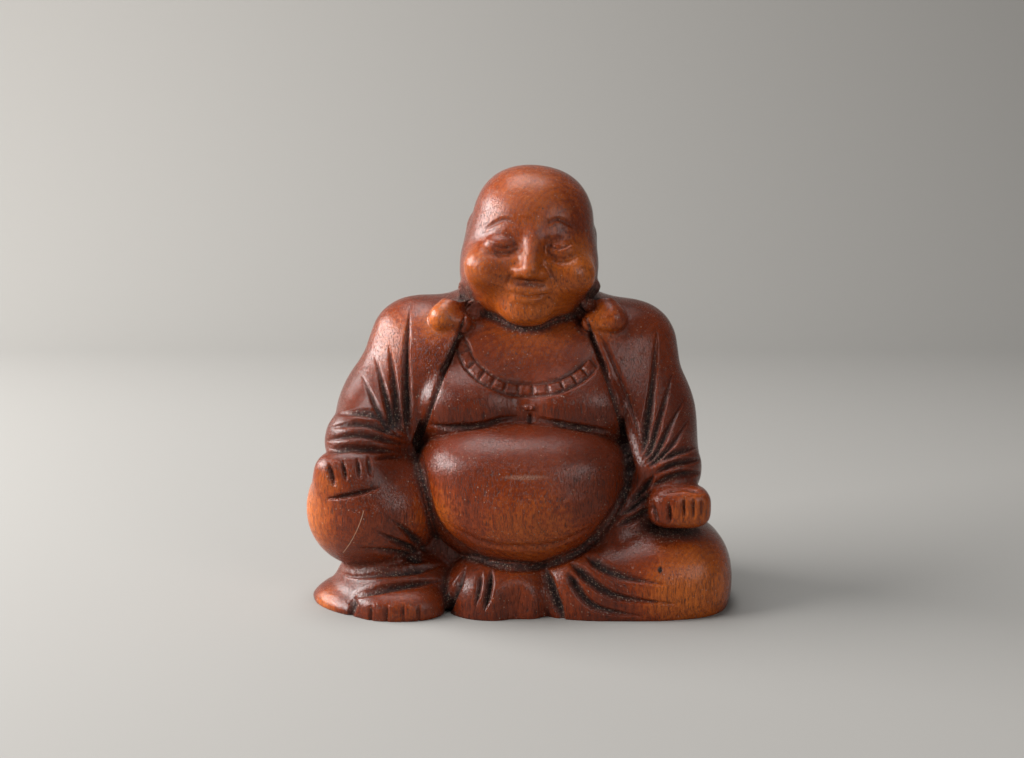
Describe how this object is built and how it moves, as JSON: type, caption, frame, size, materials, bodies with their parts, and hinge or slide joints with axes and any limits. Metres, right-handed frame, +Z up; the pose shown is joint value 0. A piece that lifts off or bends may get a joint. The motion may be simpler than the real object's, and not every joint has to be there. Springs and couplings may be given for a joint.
{
  "type": "laughing buddha statue",
  "caption": "Small one-piece wooden figurine of a seated, bald, round-bellied monk in an open robe, one knee raised, hands on the knees, long ear lobes, flat underside.",
  "frame": {"origin": "on the flat underside, in the middle of the seat, below the trunk", "axes": "+X to the viewer's right, +Y to the figure's back, +Z up"},
  "size_m": [0.1083, 0.0639, 0.1101],
  "materials": {
    "wood": "stained dark reddish brown and varnished, semi-gloss, worn lighter on the raised parts"
  },
  "bodies": {
    "root": {"statue": "wood"}
  },
  "joints": []
}
